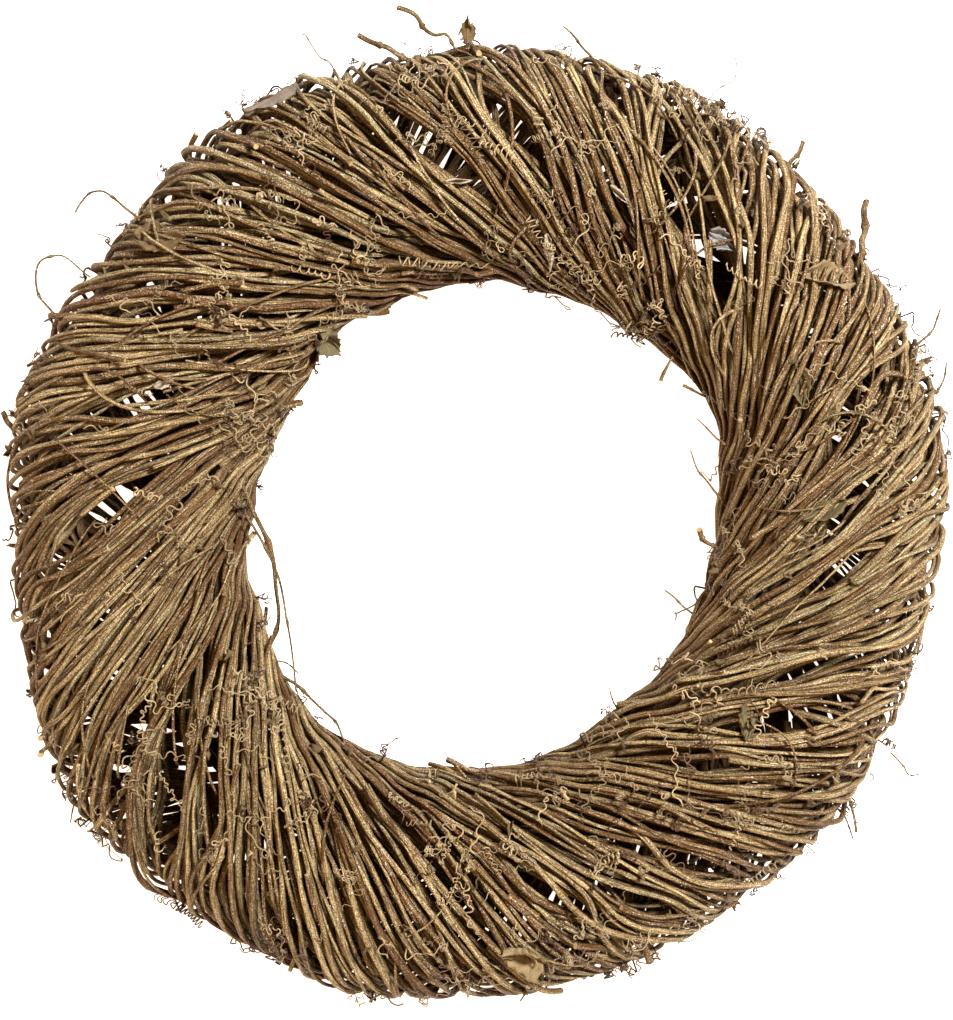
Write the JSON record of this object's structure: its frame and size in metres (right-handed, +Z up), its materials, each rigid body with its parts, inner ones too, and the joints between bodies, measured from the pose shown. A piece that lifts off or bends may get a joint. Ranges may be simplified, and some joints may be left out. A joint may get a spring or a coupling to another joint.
{
  "type": "rattan wreath",
  "caption": "Round wreath of thin brown vine canes wound slantwise round a hollow ring, with curled tendrils and a few dried leaves, for hanging or laying flat.",
  "frame": {"origin": "middle of the ring on the plane that its back lies on", "axes": "+Z up out of the front of the wreath as it lies on its back, +Y towards the top of the wreath as the picture shows it"},
  "size_m": [0.4466, 0.4584, 0.095],
  "materials": {
    "vine_bark": "matte",
    "brown_leaf": "matte",
    "olive_leaf": "matte",
    "loose_bark": "matte",
    "papery_scrap": "satin"
  },
  "bodies": {
    "root": {"bark_strip": "loose_bark", "leaf_bottom": "brown_leaf", "leaf_hole_left": "brown_leaf", "leaf_lower_right": "olive_leaf", "leaf_outer_top": "olive_leaf", "leaf_right": "olive_leaf", "leaf_right_upper": "brown_leaf", "leaf_top_left": "brown_leaf", "leaf_top_right": "brown_leaf", "papery_scrap": "papery_scrap", "vine_01": "vine_bark", "vine_02": "vine_bark", "vine_03": "vine_bark", "vine_04": "vine_bark", "vine_05": "vine_bark", "vine_06": "vine_bark", "vine_07": "vine_bark", "vine_08": "vine_bark", "vine_09": "vine_bark", "vine_10": "vine_bark", "vine_11": "vine_bark", "vine_12": "vine_bark", "vine_13": "vine_bark", "vine_14": "vine_bark", "vine_15": "vine_bark", "vine_16": "vine_bark", "vine_17": "vine_bark", "vine_18": "vine_bark", "vine_19": "vine_bark", "vine_20": "vine_bark", "vine_21": "vine_bark", "vine_22": "vine_bark", "vine_23": "vine_bark", "vine_24": "vine_bark", "vine_25": "vine_bark", "vine_26": "vine_bark", "vine_27": "vine_bark", "vine_28": "vine_bark", "vine_29": "vine_bark", "vine_30": "vine_bark", "vine_31": "vine_bark", "vine_32": "vine_bark", "vine_33": "vine_bark", "vine_34": "vine_bark", "vine_35": "vine_bark", "vine_36": "vine_bark", "vine_37": "vine_bark", "vine_38": "vine_bark", "vine_39": "vine_bark", "vine_40": "vine_bark", "vine_41": "vine_bark", "vine_42": "vine_bark"}
  },
  "joints": []
}
